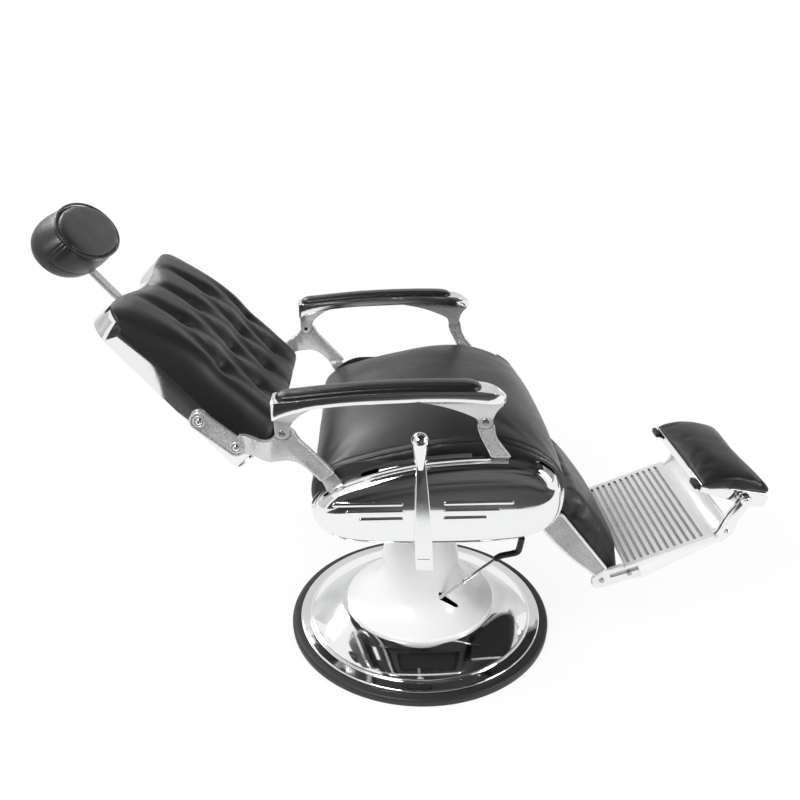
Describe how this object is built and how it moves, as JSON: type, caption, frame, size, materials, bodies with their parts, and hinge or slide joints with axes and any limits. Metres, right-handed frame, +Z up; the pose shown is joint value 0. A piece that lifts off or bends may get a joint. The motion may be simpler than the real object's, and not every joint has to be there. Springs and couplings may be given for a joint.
{
  "type": "hydraulic barber chair",
  "caption": "Reclining barber chair with tufted back, padded seat, polished armrests, headrest, legrest with ribbed foot plate, side recline lever and hydraulic pedestal base.",
  "frame": {"origin": "centre of the round base on the floor", "axes": "+Z up, +X the way the sitter faces, -Y the sitter's right, where the recline lever is"},
  "size_m": [1.6042, 0.724, 1.0608],
  "materials": {
    "plate_iron": "rough cast",
    "black_rubber": "satin black",
    "chrome_sheet": "mirror chrome",
    "white_enamel": "gloss white enamel",
    "pump_steel": "machined",
    "chrome_rod": "polished chrome",
    "bearing_brass": "turned",
    "frame_paint": "satin black paint",
    "board_wood": "plain plywood",
    "black_leather": "smooth semi-gloss black",
    "trim_dark": "gloss black enamel",
    "cast_aluminium": "satin cast",
    "back_vinyl": "smooth black",
    "polished_casting": "polished rims with hammered recesses",
    "knob_plastic": "moulded black",
    "pad_vinyl": "satin black moulded"
  },
  "bodies": {
    "base": {"base_plate": "plate_iron", "floor_ring": "black_rubber", "base_cover": "chrome_sheet", "bell_cover": "white_enamel", "pump_cylinder": "pump_steel", "gland_nut": "pump_steel", "pump_bolts": "pump_steel", "pedal_bracket": "pump_steel", "pedal_pin": "pump_steel"},
    "pedal": {"pump_lever": "chrome_rod", "pedal_grip": "black_rubber"},
    "plunger": {"pump_plunger": "pump_steel"},
    "lift": {"piston_rod": "chrome_rod", "swivel_bearing": "bearing_brass"},
    "seat": {"seat_mount": "frame_paint", "seat_frame": "frame_paint", "seat_board": "board_wood", "seat_cushion": "black_leather", "side_plates": "frame_paint", "side_cover_right": "chrome_sheet", "side_cover_left": "chrome_sheet", "side_trims": "trim_dark", "post_pins": "pump_steel", "leg_hangers": "frame_paint", "leg_plates": "cast_aluminium", "calf_board": "board_wood", "calf_pad": "black_leather", "foot_rails": "cast_aluminium", "foot_plate": "cast_aluminium", "foot_arms": "cast_aluminium", "leg_screws": "chrome_rod", "lock_cylinder": "pump_steel"},
    "back": {"back_frame": "chrome_sheet", "back_board": "board_wood", "back_cover": "back_vinyl", "back_cushion": "black_leather", "back_buttons": "black_leather", "bracket_right": "polished_casting", "bracket_left": "polished_casting", "bracket_screws": "chrome_rod", "back_shaft": "pump_steel", "headrest_socket": "polished_casting", "socket_knob": "knob_plastic"},
    "arm_right": {"armrest_right": "polished_casting", "arm_pad_right": "pad_vinyl", "arm_pins_right": "chrome_rod"},
    "arm_left": {"armrest_left": "polished_casting", "arm_pad_left": "pad_vinyl", "arm_pins_left": "chrome_rod"},
    "front_post_right": {"post_right": "polished_casting"},
    "front_post_left": {"post_left": "polished_casting"},
    "stem": {"headrest_stem": "chrome_rod"},
    "headrest": {"headrest_bracket": "frame_paint", "headrest_cushion": "black_leather"},
    "lever": {"recline_lever": "polished_casting", "lever_shaft": "pump_steel"},
    "foot_pad": {"foot_tray": "chrome_sheet", "foot_cushion": "black_leather", "pad_bumpers": "black_rubber"},
    "lock": {"lock_rod": "pump_steel"}
  },
  "joints": [
    {"name": "lift_slide", "type": "slide", "parent": "base", "child": "lift", "axis": [0, 0, 1], "range_m": [-0.14, 0]},
    {"name": "seat_swivel", "type": "hinge", "parent": "lift", "child": "seat", "pos_m": [0, 0, 0.42], "axis": [0, 0, 1], "continuous": true},
    {"name": "pedal_press", "type": "hinge", "parent": "base", "child": "pedal", "pos_m": [-0.02, -0.1, 0.077], "axis": [0, 1, 0], "range_deg": [0, 18], "stiffness_Nm_per_rad": 6, "springref_deg": -20.05},
    {"name": "plunger_stroke", "type": "slide", "parent": "base", "child": "plunger", "axis": [0, 0, 1], "range_m": [-0.012, 0]},
    {"name": "back_recline", "type": "hinge", "parent": "seat", "child": "back", "pos_m": [-0.174, 0, 0.447], "axis": [0, 1, 0], "range_deg": [0, 28]},
    {"name": "armrest_level_right", "type": "hinge", "parent": "back", "child": "arm_right", "pos_m": [-0.289, -0.322, 0.687], "axis": [0, 1, 0], "range_deg": [-28.1, 0]},
    {"name": "armrest_level_left", "type": "hinge", "parent": "back", "child": "arm_left", "pos_m": [-0.289, 0.322, 0.687], "axis": [0, 1, 0], "range_deg": [-28.1, 0]},
    {"name": "post_swing_right", "type": "hinge", "parent": "seat", "child": "front_post_right", "pos_m": [0.2165, -0.31, 0.466], "axis": [0, 1, 0], "range_deg": [0, 28.1]},
    {"name": "post_swing_left", "type": "hinge", "parent": "seat", "child": "front_post_left", "pos_m": [0.2165, 0.31, 0.466], "axis": [0, 1, 0], "range_deg": [0, 28.1]},
    {"name": "headrest_height", "type": "slide", "parent": "back", "child": "stem", "axis": [-0.6388, 0, 0.7694], "range_m": [-0.084, 0]},
    {"name": "headrest_tilt", "type": "hinge", "parent": "stem", "child": "headrest", "pos_m": [-0.7361, 0, 0.9487], "axis": [0, 1, 0], "range_deg": [-20, 14]},
    {"name": "lever_pull", "type": "hinge", "parent": "seat", "child": "lever", "pos_m": [-0.017, -0.357, 0.438], "axis": [0, 1, 0], "range_deg": [0, 20], "stiffness_Nm_per_rad": 8, "springref_deg": -22.92},
    {"name": "foot_pad_flip", "type": "hinge", "parent": "seat", "child": "foot_pad", "pos_m": [0.72, 0, 0.432], "axis": [0, 1, 0], "range_deg": [0, 170]},
    {"name": "lock_stroke", "type": "slide", "parent": "seat", "child": "lock", "axis": [1, 0, 0], "range_m": [-0.0135, 0]}
  ],
  "couplings": [
    {"joint": "plunger_stroke", "follows": "pedal_press", "m_per_rad": -0.0345},
    {"joint": "armrest_level_right", "follows": "back_recline", "ratio": -1},
    {"joint": "armrest_level_left", "follows": "back_recline", "ratio": -1},
    {"joint": "post_swing_right", "follows": "back_recline", "ratio": 1},
    {"joint": "post_swing_left", "follows": "back_recline", "ratio": 1},
    {"joint": "lock_stroke", "follows": "back_recline", "m_per_rad": -0.0269}
  ]
}
